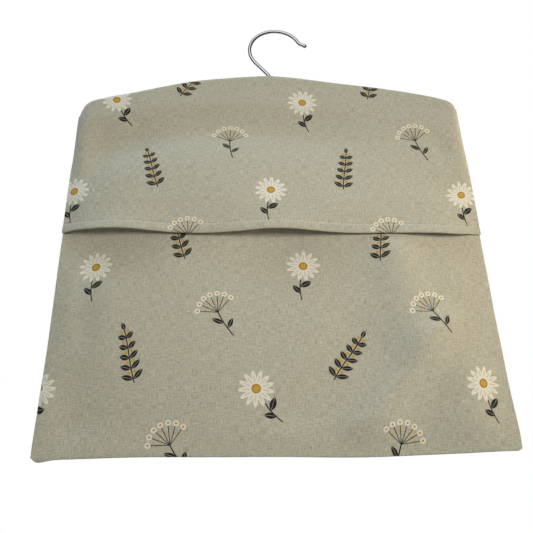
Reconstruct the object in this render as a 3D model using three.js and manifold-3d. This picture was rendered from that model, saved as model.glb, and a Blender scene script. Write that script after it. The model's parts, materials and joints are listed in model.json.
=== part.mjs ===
// Peg bag: a cloth bag sewn round a wooden hanger, with a wire hook that swivels in the hanger.
// The upper front panel hangs over the pouch as a flap, and pegs go in behind its hem.
// Millimetres, +Z up, the front faces -Y.
// The origin is on the swivel axis, at the inside top of the hook, where a line or rail bears.
import * as THREE from 'three';
import { mergeVertices } from 'three/addons/utils/BufferGeometryUtils.js';
import Module from 'manifold-3d';

const wasm = await Module();
wasm.setup();

// Driving dimensions: the bag
const bagWidth = 380;
const bagHeight = 375; // crown of the shoulders to the lower edge
const shoulderDrop = 34; // fall of the shoulder line from the crown to the side
const shoulderPower = 1.55; // how flat the crown is before the shoulders fall away
const cornerRadius = 12; // shoulder corner, seen from the front
const crownRound = 6; // depth over which the cloth rolls over the top of the hanger
const flapLength = 185; // crown to the flap's hem
const flapOverlap = 40; // how far the pouch reaches up behind the flap
const pouchDepth = 10; // how far the slack pouch stands forward of the swivel axis
const pouchSideRun = 90; // from a side seam to the full depth of the pouch
const pouchBottomRun = 120; // from the bottom seam to the full depth of the pouch
const clothThickness = 0.7;
const hemDepth = 10;
const hemLayers = 3; // a hem is turned twice
const hemStep = 1; // width of the step where a hem's turned layers end
const seamAllowance = 10;
const seamInset = 0.5; // the turned allowance stops this far inside the bag's edge
const topSeamGap = 0.5; // between the front and back panels along the crown
const layerGap = 0.6; // between the flap and the pouch behind it
const clearance = 0.3;

// Driving dimensions: the flap's bend and the places where its hem gapes
const bendHeight = 105; // bend line above the flap's hem
const bendHalfWidth = 110;
const bendGap = 0.4; // cut between the lifting flap and the fixed yoke
const flapEndInset = 14; // from the side of the bag to the end of the lifting hem
const gapeHeight = 70; // how far up the flap a gape dies out
const leftGapeCentre = -143;
const leftGapeReach = 46; // to each side of its centre
const leftGapeLift = 10;
const middleGapeCentre = 6;
const middleGapeReach = 54;
const middleGapeLift = 8;
const rightGapeCentre = 168;
const rightGapeReach = 21;
const rightGapeLift = 4;
const stitchInset = 8.5; // hem stitching above the hem's edge
const threadDiameter = 0.5;

// Driving dimensions: the hanger bar
const barThickness = 12;
const barDepthCentre = 32;
const barDepthEnd = 18;
const barEndInset = 14; // from the side of the bag to the end of the bar
const barEdgeRound = 3.5;
const crownSeamThickness = 1.2; // allowances pressed open on top of the bar
const crownSeamWidth = 6;
const crownSeamSink = 2; // crown of the cloth down to the pressed allowances

// Driving dimensions: the hook
const wireDiameter = 3.6;
const bowRadius = 27; // wire centreline
const bowOffset = 7; // bow centre to the right of the swivel axis
const bowRise = 37; // bow centre above the crown
const neckBendRadius = 6;
const neckStart = 0.5; // the neck starts to lean this far above the crown
const bowEndAngle = 25; // degrees above the horizontal, where the bow ends
const tipBendRadius = 5;
const tipFlare = 36; // degrees
const tipLength = 5.5;
const tipBallDiameter = 4.2;
const hookHeadDiameter = 7;
const hookHeadHeight = 2.2;
const washerDiameter = 9;
const washerThickness = 1;
const counterboreDepth = 7;
const hookHoleClearance = 0.3; // radial, round the wire in the bar
const hookOpeningClearance = 1.2; // radial, round the wire in the cloth

// Facets
const plainColumns = 9; // on each half of a panel, inside the shoulder corner
const flapColumns = 14;
const cornerColumns = 4;
const wireSides = 12;
const threadSides = 6;

// Heights and layers that follow from the driving dimensions
const halfWidth = bagWidth / 2;
const wireRadius = wireDiameter / 2;
const bowCentreZ = -Math.sqrt((bowRadius - wireRadius) ** 2 - bowOffset ** 2);
const crownZ = bowCentreZ - bowRise;
const bottomZ = crownZ - bagHeight;
const hemZ = crownZ - flapLength;
const pouchTopZ = hemZ + flapOverlap;
const bendZ = hemZ + bendHeight;
const hemThickness = hemLayers * clothThickness;
const seamThickness = 2 * clothThickness;
const backInner = barThickness / 2 + clearance;
const backOuter = backInner + clothThickness;
const seamBack = backInner - clearance;
const seamFront = seamBack - seamThickness;
const pouchEdge = seamFront - clearance - clothThickness; // outer face at the side and bottom seams
const barFace = -(barThickness / 2 + clearance + clothThickness); // outer face of the cloth on the bar
const barHalf = halfWidth - barEndInset;
const barTopSink = crownSeamSink + crownSeamThickness + clearance;

const cloth = new THREE.MeshStandardMaterial({ color: 0xaaa693, roughness: 0.9, metalness: 0 });
const thread = new THREE.MeshStandardMaterial({ color: 0xcfc9b4, roughness: 0.8, metalness: 0 });
const beech = new THREE.MeshStandardMaterial({ color: 0xc79a66, roughness: 0.55, metalness: 0 });
const chrome = new THREE.MeshStandardMaterial({ color: 0xd5d8da, roughness: 0.15, metalness: 1 });

const mix = (a, b, t) => a + (b - a) * t;
const clamp = (t) => Math.min(1, Math.max(0, t));
const smooth = (t) => clamp(t) ** 2 * (3 - 2 * clamp(t));
const pillow = (t) => clamp(t) * (2 - clamp(t)); // leaves a seam at an angle and levels out
const evenly = (from, to, count) => Array.from({ length: count + 1 }, (_, i) => mix(from, to, i / count));

// Closed geometry to a solid for a boolean, and back
function solidOf(geometry) {
  const bare = geometry.clone();
  bare.deleteAttribute('normal');
  bare.deleteAttribute('uv');
  const merged = mergeVertices(bare, 1e-4);
  return new wasm.Manifold(
    new wasm.Mesh({
      numProp: 3,
      vertProperties: new Float32Array(merged.attributes.position.array),
      triVerts: new Uint32Array(merged.index.array),
    }),
  );
}

function geometryOf(solid) {
  const made = solid.getMesh();
  const geometry = new THREE.BufferGeometry();
  geometry.setAttribute('position', new THREE.Float32BufferAttribute(made.vertProperties, 3));
  geometry.setIndex([...made.triVerts]);
  geometry.computeVertexNormals();
  return geometry;
}

// An outline in X and Z, extruded through the thickness of the bag and centred on y
function plate(shape, thickness, y, bevel = 0) {
  const geometry = new THREE.ExtrudeGeometry(shape, {
    depth: thickness - 2 * bevel,
    bevelEnabled: bevel > 0,
    bevelThickness: bevel,
    bevelSize: bevel,
    bevelOffset: -bevel,
    bevelSegments: 3,
    curveSegments: 8,
  });
  geometry.rotateX(Math.PI / 2);
  geometry.translate(0, y + thickness / 2 - bevel, 0);
  return geometry;
}

function uprightCylinder(radius, bottom, top, sides = 24) {
  const geometry = new THREE.CylinderGeometry(radius, radius, top - bottom, sides);
  geometry.rotateX(Math.PI / 2);
  geometry.translate(0, 0, (top + bottom) / 2);
  return geometry;
}

// A round wire or thread along a curve
function sweep(curve, diameter, steps, sides) {
  const section = new THREE.Shape().absarc(0, 0, diameter / 2, 0, 2 * Math.PI, false);
  return new THREE.ExtrudeGeometry(section, { steps, extrudePath: curve, curveSegments: sides / 2 });
}

// The bag's outline
function cornerFall(x) {
  const past = Math.abs(x) - (halfWidth - cornerRadius);
  if (past <= 0) return 0;
  return cornerRadius - Math.sqrt(Math.max(0, cornerRadius ** 2 - past ** 2));
}

const shoulderFall = (x) => shoulderDrop * (Math.abs(x) / halfWidth) ** shoulderPower;
const topZ = (x) => crownZ - shoulderFall(x) - cornerFall(x);

// Columns close up round the shoulder corners
function panelColumns(innerColumns) {
  const cornerStart = halfWidth - cornerRadius;
  const corner = Array.from({ length: cornerColumns }, (_, i) => {
    const angle = ((i + 1) / cornerColumns) * (Math.PI / 2);
    return cornerStart + cornerRadius * Math.sin(angle);
  });
  const right = [...evenly(0, cornerStart, innerColumns), ...corner];
  return [...right.slice(1).reverse().map((x) => -x), ...right];
}

// Rows close up where the cloth rolls over the bar
const crownRows = [1, 0.7, 0.42, 0.2, 0.06, 0].map((share) => share * crownRound);
const crownHeights = (x) => crownRows.map((depth) => topZ(x) - depth);

// Outer faces of the panels, as y over x and z
const sideRise = (x) => pillow((halfWidth - Math.abs(x)) / pouchSideRun);
const barRise = (x) => pillow((halfWidth - Math.abs(x)) / Math.min(cornerRadius, barEndInset));
const cornerShare = (x) => smooth((Math.abs(x) - barHalf + cornerRadius) / (barEndInset + cornerRadius / 2));

// A quarter ellipse from the crown seam to the face of the bar
function crownRoll(x, z) {
  const down = clamp((topZ(x) - z) / crownRound);
  return Math.sqrt(1 - (1 - down) ** 2);
}

function pouchFace(x, z) {
  const bottomRise = pillow((z - bottomZ) / pouchBottomRun);
  return mix(pouchEdge, -pouchDepth, sideRise(x) * bottomRise);
}

// A hem wave: full at its centre and gone at its reach
function wave(x, centre, reach, lift) {
  const off = Math.min(1, Math.abs(x - centre) / reach);
  return lift * Math.cos((off * Math.PI) / 2) ** 2;
}

function hemGape(x, z) {
  const fall = clamp((hemZ + gapeHeight - z) / gapeHeight) ** 2;
  const left = wave(x, leftGapeCentre, leftGapeReach, leftGapeLift);
  const middle = wave(x, middleGapeCentre, middleGapeReach, middleGapeLift);
  const right = wave(x, rightGapeCentre, rightGapeReach, rightGapeLift);
  return fall * (left + middle + right);
}

function flapFace(x, z) {
  const overPouch = pouchFace(x, Math.min(z, pouchTopZ)) - layerGap - hemThickness;
  const overBar = mix(pouchEdge, barFace, barRise(x));
  const barFoot = topZ(x) - barTopSink - barDepthEnd;
  const hanging = mix(overPouch, overBar, smooth((z - pouchTopZ) / (barFoot - pouchTopZ)));
  const seamLine = mix(-topSeamGap / 2, pouchEdge, cornerShare(x) ** 2);
  return mix(seamLine, hanging, crownRoll(x, z)) - hemGape(x, z);
}

function backFace(x, z) {
  const seamLine = mix(topSeamGap / 2, backOuter, cornerShare(x));
  return mix(seamLine, backOuter, crownRoll(x, z));
}

// A sheet of cloth: a grid of points on its outer face, a second grid one thickness further in, and a
// wall round the rim. The near grid is the one towards -Y.
function clothSheet(columns, heightsAt, face, inward, thicknessAt) {
  const outer = columns.map((x) => heightsAt(x).map((z) => new THREE.Vector3(x, face(x, z), z)));
  const inner = outer.map((column, i) =>
    column.map((point, j) => {
      const left = outer[Math.max(0, i - 1)][j];
      const right = outer[Math.min(columns.length - 1, i + 1)][j];
      const below = column[Math.max(0, j - 1)];
      const above = column[Math.min(column.length - 1, j + 1)];
      const across = new THREE.Vector3().subVectors(right, left);
      const up = new THREE.Vector3().subVectors(above, below);
      const normal = across.cross(up).normalize(); // towards -Y
      return point.clone().addScaledVector(normal, -inward * thicknessAt(point.x, point.z));
    }),
  );
  return inward > 0 ? shellBetween(outer, inner) : shellBetween(inner, outer);
}

function shellBetween(near, far) {
  const rows = near[0].length;
  const points = [...near.flat(), ...far.flat()];
  const nearAt = (i, j) => i * rows + j;
  const farAt = (i, j) => near.length * rows + i * rows + j;
  const index = [];
  const quad = (a, b, c, d) => index.push(a, b, c, a, c, d);
  const lastColumn = near.length - 1;
  const lastRow = rows - 1;
  for (let i = 0; i < lastColumn; i++) {
    for (let j = 0; j < lastRow; j++) {
      quad(nearAt(i, j), nearAt(i + 1, j), nearAt(i + 1, j + 1), nearAt(i, j + 1));
      quad(farAt(i, j), farAt(i, j + 1), farAt(i + 1, j + 1), farAt(i + 1, j));
    }
    quad(nearAt(i, 0), farAt(i, 0), farAt(i + 1, 0), nearAt(i + 1, 0));
    quad(nearAt(i, lastRow), nearAt(i + 1, lastRow), farAt(i + 1, lastRow), farAt(i, lastRow));
  }
  for (let j = 0; j < lastRow; j++) {
    quad(nearAt(0, j), nearAt(0, j + 1), farAt(0, j + 1), farAt(0, j));
    quad(nearAt(lastColumn, j), farAt(lastColumn, j), farAt(lastColumn, j + 1), nearAt(lastColumn, j + 1));
  }
  const geometry = new THREE.BufferGeometry().setFromPoints(points);
  geometry.setIndex(index);
  geometry.computeVertexNormals();
  return geometry;
}

// The hook passes the cloth where the crown seam is left open
function withHookOpening(solid) {
  const radius = wireRadius + hookOpeningClearance;
  return solid.subtract(solidOf(uprightCylinder(radius, crownZ - crownRound, crownZ + crownRound)));
}

function backPanel() {
  const heights = (x) => [...evenly(bottomZ, topZ(x) - crownRound, 4).slice(0, -1), ...crownHeights(x)];
  const sheet = clothSheet(panelColumns(plainColumns), heights, backFace, -1, () => clothThickness);
  return geometryOf(withHookOpening(solidOf(sheet)));
}

function frontPouch() {
  const hemLow = pouchTopZ - hemDepth;
  const body = evenly(bottomZ, hemLow - hemStep, 9);
  const heights = () => [...body, hemLow, pouchTopZ];
  const inHem = (x, z) => z > hemLow - hemStep / 2 && Math.abs(x) < halfWidth - seamAllowance / 2;
  const thickness = (x, z) => (inHem(x, z) ? hemThickness : clothThickness);
  return clothSheet(panelColumns(plainColumns), heights, pouchFace, 1, thickness);
}

// The upper front panel is one cut of cloth. It is parted along its bend line into the fixed yoke and
// the flap that lifts.
function upperFront() {
  const hemTop = hemZ + hemDepth;
  const heights = (x) => [
    hemZ,
    hemTop,
    ...evenly(hemTop + hemStep, topZ(x) - crownRound, 9).slice(0, -1),
    ...crownHeights(x),
  ];
  const thickness = (x, z) => (z < hemTop + hemStep / 2 ? hemThickness : clothThickness);
  return solidOf(clothSheet(panelColumns(flapColumns), heights, flapFace, 1, thickness));
}

function flapOutline(grow) {
  const hemHalf = halfWidth - flapEndInset + grow;
  const bendHalf = bendHalfWidth + grow;
  const below = hemZ - hemDepth;
  return new THREE.Shape([
    new THREE.Vector2(-hemHalf, below),
    new THREE.Vector2(hemHalf, below),
    new THREE.Vector2(hemHalf, hemZ),
    new THREE.Vector2(bendHalf, bendZ + grow),
    new THREE.Vector2(-bendHalf, bendZ + grow),
    new THREE.Vector2(-hemHalf, hemZ),
  ]);
}

const flapCutter = (grow) => solidOf(plate(flapOutline(grow), 4 * (pouchDepth + barThickness), 0));
const frontFlap = (panel) => geometryOf(panel.intersect(flapCutter(0)));
const frontYoke = (panel) => geometryOf(withHookOpening(panel.subtract(flapCutter(bendGap))));

// Lockstitch thread along a hem, lying on the outer face of the cloth between two of its rows
function hemStitching(face, innerColumns, edgeZ, turn, reach) {
  const lie = clearance + threadDiameter / 2;
  const z = edgeZ + turn * stitchInset;
  const share = stitchInset / hemDepth;
  const columns = panelColumns(innerColumns).filter((x) => Math.abs(x) < reach);
  const points = columns.map((x) => {
    const y = mix(face(x, edgeZ), face(x, edgeZ + turn * hemDepth), share);
    return new THREE.Vector3(x, y - lie, z);
  });
  return sweep(new THREE.CatmullRomCurve3(points), threadDiameter, 2 * columns.length, threadSides);
}

function sideSeam(side) {
  const top = crownZ - shoulderDrop - cornerRadius - crownRound;
  const bottom = bottomZ + seamInset + seamAllowance + clearance;
  const geometry = new THREE.BoxGeometry(seamAllowance, seamThickness, top - bottom);
  const x = side * (halfWidth - seamInset - seamAllowance / 2);
  geometry.translate(x, (seamFront + seamBack) / 2, (top + bottom) / 2);
  return geometry;
}

function bottomSeam() {
  const geometry = new THREE.BoxGeometry(bagWidth - 2 * seamInset, seamThickness, seamAllowance);
  geometry.translate(0, (seamFront + seamBack) / 2, bottomZ + seamInset + seamAllowance / 2);
  return geometry;
}

// Crown allowances lie pressed open along the top of the bar, on each side of the hook
function shoulderSeam(side) {
  const start = wireRadius + hookOpeningClearance + 2 * clearance;
  const columns = evenly(start, barHalf - barEndInset, 14);
  const lower = (x) => crownZ - shoulderFall(x) - crownSeamSink - crownSeamThickness;
  const along = (rise) => columns.map((x) => new THREE.Vector2(side * x, lower(x) + rise));
  const outline = [...along(0), ...along(crownSeamThickness).reverse()];
  return plate(new THREE.Shape(outline), crownSeamWidth, 0);
}

// The hanger bar: shoulders that follow the bag's outline, round ends and rounded edges
const barTopZ = (x) => crownZ - shoulderFall(x) - barTopSink;
const barFootZ = barTopZ(0) - barDepthCentre;
const seatZ = barFootZ + counterboreDepth;

function barOutline() {
  const endRadius = barDepthEnd / 2;
  const endX = barHalf - endRadius;
  const endZ = barTopZ(endX) - endRadius;
  const depth = (x) => mix(barDepthCentre, barDepthEnd, smooth(Math.abs(x) / endX));
  const columns = evenly(-endX, endX, 24);
  const shape = new THREE.Shape();
  shape.moveTo(-endX, barTopZ(endX) - barDepthEnd);
  columns.slice(1).forEach((x) => shape.lineTo(x, barTopZ(x) - depth(x)));
  shape.absarc(endX, endZ, endRadius, -Math.PI / 2, Math.PI / 2, false);
  [...columns].reverse().slice(1).forEach((x) => shape.lineTo(x, barTopZ(x)));
  shape.absarc(-endX, endZ, endRadius, Math.PI / 2, (3 * Math.PI) / 2, false);
  return shape;
}

function hangerBar() {
  const bar = solidOf(plate(barOutline(), barThickness, 0, barEdgeRound));
  const hole = uprightCylinder(wireRadius + hookHoleClearance, barFootZ - 1, barTopZ(0) + 1);
  const counterbore = uprightCylinder(washerDiameter / 2 + clearance, barFootZ - 1, seatZ);
  return geometryOf(bar.subtract(solidOf(hole)).subtract(solidOf(counterbore)));
}

function hookWasher() {
  const top = seatZ - clearance;
  const disc = solidOf(uprightCylinder(washerDiameter / 2, top - washerThickness, top));
  const hole = uprightCylinder(wireRadius + hookHoleClearance, top - 2 * washerThickness, top + washerThickness);
  return geometryOf(disc.subtract(solidOf(hole)));
}

// Centreline of the hook in X and Z: a straight shank, a bend into a leaning neck, the bow, and a flared tip
const headTopZ = seatZ - 2 * clearance - washerThickness;

function hookLine() {
  const bow = new THREE.Vector2(bowOffset, bowCentreZ);
  const neck = new THREE.Vector2(-neckBendRadius, crownZ + neckStart);
  const between = new THREE.Vector2().subVectors(bow, neck);
  const lean = between.angle() + Math.asin((bowRadius + neckBendRadius) / between.length());
  const end = THREE.MathUtils.degToRad(bowEndAngle);
  const flare = THREE.MathUtils.degToRad(tipFlare);
  const tipCentre = new THREE.Vector2(Math.cos(end), Math.sin(end)).multiplyScalar(bowRadius + tipBendRadius);
  tipCentre.add(bow);
  const heading = end - Math.PI / 2 + flare;
  const path = new THREE.Path();
  path.moveTo(0, headTopZ - hookHeadHeight / 2);
  path.lineTo(0, neck.y);
  path.absarc(neck.x, neck.y, neckBendRadius, 0, lean - Math.PI / 2, false);
  path.absarc(bow.x, bow.y, bowRadius, lean + Math.PI / 2, end, true);
  path.absarc(tipCentre.x, tipCentre.y, tipBendRadius, end + Math.PI, end + Math.PI + flare, false);
  const bent = path.currentPoint;
  path.lineTo(bent.x + tipLength * Math.cos(heading), bent.y + tipLength * Math.sin(heading));
  return path;
}

function wireHook() {
  const line = hookLine();
  const points = line.getSpacedPoints(160).map((p) => new THREE.Vector3(p.x, 0, p.y));
  const wire = solidOf(sweep(new THREE.CatmullRomCurve3(points), wireDiameter, 72, wireSides));
  const head = solidOf(uprightCylinder(hookHeadDiameter / 2, headTopZ - hookHeadHeight, headTopZ));
  const ball = new THREE.SphereGeometry(tipBallDiameter / 2, wireSides, wireSides / 2);
  const tip = points[points.length - 1];
  ball.translate(tip.x, tip.y, tip.z);
  return geometryOf(wire.add(head).add(solidOf(ball)));
}

// Assembly
const pegBag = new THREE.Group();

function place(name, geometry, material) {
  const piece = new THREE.Mesh(geometry, material);
  piece.name = name;
  pegBag.add(piece);
}

const panel = upperFront();
place('hook', wireHook(), chrome);
place('hook_washer', hookWasher(), chrome);
place('hanger_bar', hangerBar(), beech);
place('back_panel', backPanel(), cloth);
place('front_yoke', frontYoke(panel), cloth);
place('front_flap', frontFlap(panel), cloth);
place('front_pouch', frontPouch(), cloth);
place('left_side_seam', sideSeam(-1), cloth);
place('right_side_seam', sideSeam(1), cloth);
place('bottom_seam', bottomSeam(), cloth);
place('left_shoulder_seam', shoulderSeam(-1), cloth);
place('right_shoulder_seam', shoulderSeam(1), cloth);
const flapReach = halfWidth - flapEndInset - hemDepth;
place('flap_hem_stitching', hemStitching(flapFace, flapColumns, hemZ, 1, flapReach), thread);
const pouchReach = halfWidth - seamAllowance;
place('pouch_hem_stitching', hemStitching(pouchFace, plainColumns, pouchTopZ, -1, pouchReach), thread);

export default pegBag;
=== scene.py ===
import json
import math
import random

import bmesh
import bpy
from mathutils import Matrix, Vector, noise
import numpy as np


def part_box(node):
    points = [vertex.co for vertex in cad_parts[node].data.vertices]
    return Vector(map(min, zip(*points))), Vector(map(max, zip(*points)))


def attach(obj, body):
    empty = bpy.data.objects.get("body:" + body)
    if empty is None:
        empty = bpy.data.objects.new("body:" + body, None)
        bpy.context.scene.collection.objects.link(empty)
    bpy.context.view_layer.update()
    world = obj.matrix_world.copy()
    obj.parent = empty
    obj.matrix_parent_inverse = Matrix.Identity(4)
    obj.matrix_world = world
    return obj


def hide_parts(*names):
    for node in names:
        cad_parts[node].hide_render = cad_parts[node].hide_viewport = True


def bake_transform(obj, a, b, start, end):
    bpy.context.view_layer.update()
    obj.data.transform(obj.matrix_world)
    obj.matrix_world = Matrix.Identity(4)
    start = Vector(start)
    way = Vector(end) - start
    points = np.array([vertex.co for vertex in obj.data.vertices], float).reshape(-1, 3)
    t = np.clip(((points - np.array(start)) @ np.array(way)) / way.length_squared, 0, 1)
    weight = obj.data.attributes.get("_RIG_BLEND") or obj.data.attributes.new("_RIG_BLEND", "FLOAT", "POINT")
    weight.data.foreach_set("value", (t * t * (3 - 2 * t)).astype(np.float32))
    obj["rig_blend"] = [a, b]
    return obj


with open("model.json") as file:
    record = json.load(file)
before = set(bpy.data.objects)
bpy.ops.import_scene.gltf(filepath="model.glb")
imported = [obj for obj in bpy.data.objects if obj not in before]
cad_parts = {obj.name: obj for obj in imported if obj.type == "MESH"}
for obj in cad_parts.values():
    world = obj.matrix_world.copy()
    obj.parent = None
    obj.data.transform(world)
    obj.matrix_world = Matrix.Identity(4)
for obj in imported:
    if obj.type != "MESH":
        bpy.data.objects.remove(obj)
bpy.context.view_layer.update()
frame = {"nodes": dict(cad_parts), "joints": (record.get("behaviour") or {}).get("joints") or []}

backLow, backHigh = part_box("back_panel")
yokeLow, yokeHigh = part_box("front_yoke")
pouchLow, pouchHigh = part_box("front_pouch")
barLow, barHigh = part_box("hanger_bar")
hinge = next(joint for joint in frame["joints"] if joint["name"] == "flap_lift")
print("frame loaded,", len(frame["nodes"]), "CAD nodes")

# The sewn bag, in metres, with the same faces as the solids
bag = {
    "halfWidth": backHigh.x,
    "crown": yokeHigh.z,
    "bottom": backLow.z,
    "hem": yokeLow.z,
    "pouchTop": pouchHigh.z,
    "shoulderDrop": 0.034,
    "shoulderPower": 1.55,
    "topCorners": {"left": 0.017, "right": 0.006},
    "footCorners": {"left": 0.006, "right": 0.004},
    "crownDrift": [  # humps along the crown line, as for the two below: centre, width, height
        (-0.150, 0.040, -0.0020),
        (-0.076, 0.028, 0.0010),
        (0.066, 0.045, -0.0024),
        (0.165, 0.03, 0.0006),
    ],
    "footDrift": [(-0.110, 0.045, 0.0010), (0.065, 0.055, -0.0018), (0.182, 0.03, 0.0012)],
    "hemRise": [
        (-0.190, 0.026, 0.0056),
        (-0.142, 0.050, 0.0048),
        (0.002, 0.034, 0.0018),
        (0.190, 0.022, 0.0042),
    ],
    "crownRound": 0.006,
    "frontEdge": 0.0034,  # where the front cloth meets the side and bottom seams
    "seamLine": 0.0052,  # where front and back meet, at the sides
    "backFace": backHigh.y,
    "barFace": barLow.y - 0.001,
    "barHalf": barHigh.x,
    "barFoot": {"middle": 0.0355, "ends": 0.0215},  # below the crown line
    "barRoll": 0.012,  # from the side of the bag to the bar's face
    "seamBend": {"before": 0.012, "extra": 0.006},  # where the crown seam runs back to the sides
    "pouchOut": pouchLow.y + 0.0025,
    "sideRun": {"left": 0.06, "right": 0.08},
    "footRun": 0.12,
    "footShare": 0.75,  # how much of the pouch's swell lies in that run, the rest leans evenly
    "mouthSag": 0.9,  # how far the mouth falls back, as a share of the gape
    "recess": {  # the fall-back under the bar
        "depth": 0.0052,
        "below": 0.036,
        "width": 0.023,
        "rightShare": 0.5,
        "rightFrom": 0.04,
        "rightRun": 0.07,
    },
    "backRecess": {"depth": 0.0024, "below": 0.020, "width": 0.022},
    "layerStep": 0.0027,  # from the pouch's face out to the flap's
    "hemDrop": -0.0016,
    "gapeHeight": 0.05,
    "gapeCurl": 2.6,
    "gapes": [  # start, peak, end, lift and steepness
        (-0.190, -0.150, -0.080, 0.0066, 1.0),
        (-0.060, 0.002, 0.064, 0.0042, 2.0),
        (0.105, 0.155, 0.188, 0.0030, 1.5),
    ],
    "liftPower": 2.5,  # how the lift of the flap dies out to its sewn ends
}

# How the edges are sewn
sewing = {
    "lipRadius": 0.0009,
    "lipSteps": 5,
    "lipReach": 0.0016,
    "lipShares": (0.5, 1.0),
    "cornerSteps": 2,
    "cornerColumns": 7,
    "crownSteps": 3,
    "crownReach": 0.0006,
    "hemRadius": 0.00095,
    "hemSteps": 5,
    "hemDepth": 0.010,
    "hemShares": (0.0, 0.3, 0.65, 1.0),
    "hemRows": [0.002, 0.004, 0.006, 0.0072, 0.008, 0.0085, 0.009, 0.0098, 0.0108, 0.012, 0.015, 0.018],
    "stitchInset": 0.0085,
    "dip": {"depth": 0.00025, "width": 0.0008},  # the groove that stitches pull into the cloth
    "eyeStep": 0.0011,
    "eyeReach": 0.0066,
    "eyeGap": 0.0024,
    "eyeWidth": 0.0034,
    "clothThickness": 0.0007,
    "rows": {"crown": 7, "upperFront": 34, "pouch": 40, "back": 56},
}

# How the slack cloth wavers: waves per metre, and heights
slack = {"broad": 13, "broadHeight": 0.0009, "fine": 42, "fineHeight": 0.00028}
ripple = {
    "waves": 46,
    "fineWaves": 130,
    "fineShare": 0.5,
    "height": 0.0012,
    "reach": 0.022,
    "start": 0.003,
    "backShare": 0.5,
}
hemBand = {"reach": 0.022, "near": 0.006, "swell": 0.00035, "pucker": 0.0003, "waves": 95}

# Over what length folds die out towards what holds the cloth. A pair is a start and a run.
fades = {
    "edge": 0.03,
    "bar": (0.004, 0.02),
    "tuck": (0.020, 0.03),
    "cover": (0.025, 0.025),
    "mouth": (0.06, 0.05),
}


def mix(a, b, share):
    return a + (b - a) * share


def clamp(share):
    return max(0.0, min(1.0, share))


def ease(share):
    held = clamp(share)
    return held * held * (3 - 2 * held)


def pillow(share):
    held = clamp(share)
    return held * (2 - held)


def evenly(first, last, count):
    return [mix(first, last, i / count) for i in range(count + 1)]


# How far in a point is from the edge where the side lip starts to turn
def insetAt(x):
    return max(0.0, bag["halfWidth"] - sewing["lipRadius"] - abs(x))


def roundFall(x, radii):
    radius = radii["left" if x < 0 else "right"]
    past = abs(x) - (bag["halfWidth"] - radius)
    if past <= 0:
        return 0.0
    return radius - math.sqrt(max(0.0, radius ** 2 - past ** 2))


# Soft humps along an edge: centre, width, height
def humpsAt(x, humps):
    return sum(height * math.exp(-(((x - centre) / width) ** 2)) for centre, width, height in humps)


def topEdge(x):
    slope = bag["shoulderDrop"] * (abs(x) / bag["halfWidth"]) ** bag["shoulderPower"]
    return bag["crown"] - slope - roundFall(x, bag["topCorners"]) + humpsAt(x, bag["crownDrift"])


def footEdge(x):
    return bag["bottom"] + roundFall(x, bag["footCorners"]) + humpsAt(x, bag["footDrift"])


def hemLine(x):
    return bag["hem"] + bag["hemDrop"] + humpsAt(x, bag["hemRise"])


def crownRoll(x, z):
    down = clamp((topEdge(x) - z) / bag["crownRound"])
    return math.sqrt(1 - (1 - down) ** 2)


def cornerShare(x):
    bend = bag["seamBend"]
    run = bag["halfWidth"] - bag["barHalf"] + bend["extra"]
    return ease((abs(x) - bag["barHalf"] + bend["before"]) / run)


def seamCurve(x):
    return mix(0.0, bag["seamLine"], cornerShare(x))


# The crown seam is left open round the hook's wire
def hookEye(x):
    return sewing["eyeGap"] * math.exp(-((x / sewing["eyeWidth"]) ** 2))


def barFoot(x):
    foot = bag["barFoot"]
    return topEdge(x) - mix(foot["middle"], foot["ends"], clamp(abs(x) / bag["barHalf"]))


# Long soft folds: how far they stand proud at a point
def foldsAt(x, z, folds):
    proud = 0.0
    for startX, startZ, endX, endZ, width, height in folds:
        lineX = endX - startX
        lineZ = endZ - startZ
        along = clamp(((x - startX) * lineX + (z - startZ) * lineZ) / (lineX ** 2 + lineZ ** 2))
        gap = math.hypot(x - startX - lineX * along, z - startZ - lineZ * along)
        proud += height * math.exp(-((gap / width) ** 2))
    return proud


def unevenness(x, z, seed):
    broad = noise.noise(Vector((x * slack["broad"], seed, z * slack["broad"])))
    fine = noise.noise(Vector((x * slack["fine"], seed + 9, z * slack["fine"])))
    return slack["broadHeight"] * broad + slack["fineHeight"] * fine


# Short ripples that the side seams draw into the cloth
def seamRipples(x, z, seed):
    inward = insetAt(x)
    side = 1 if x > 0 else -1
    wave = noise.noise(Vector((seed + 5 * side, z * ripple["waves"], 0.3)))
    wave += ripple["fineShare"] * noise.noise(Vector((seed, z * ripple["fineWaves"], 4.0)))
    fall = math.exp(-inward / ripple["reach"])
    return ripple["height"] * wave * fall * clamp(inward / ripple["start"])


# The hem's band swells between its stitches and its fold, and puckers along them
def hemSwell(x, up, seed):
    if not 0 <= up <= hemBand["reach"]:
        return 0.0
    band = math.sin(math.pi * clamp(up / sewing["stitchInset"]))
    near = math.exp(-(((up - sewing["stitchInset"]) / hemBand["near"]) ** 2))
    pucker = noise.noise(Vector((x * hemBand["waves"], seed, 0.7)))
    return hemBand["swell"] * band + hemBand["pucker"] * pucker * max(band, near)


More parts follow.
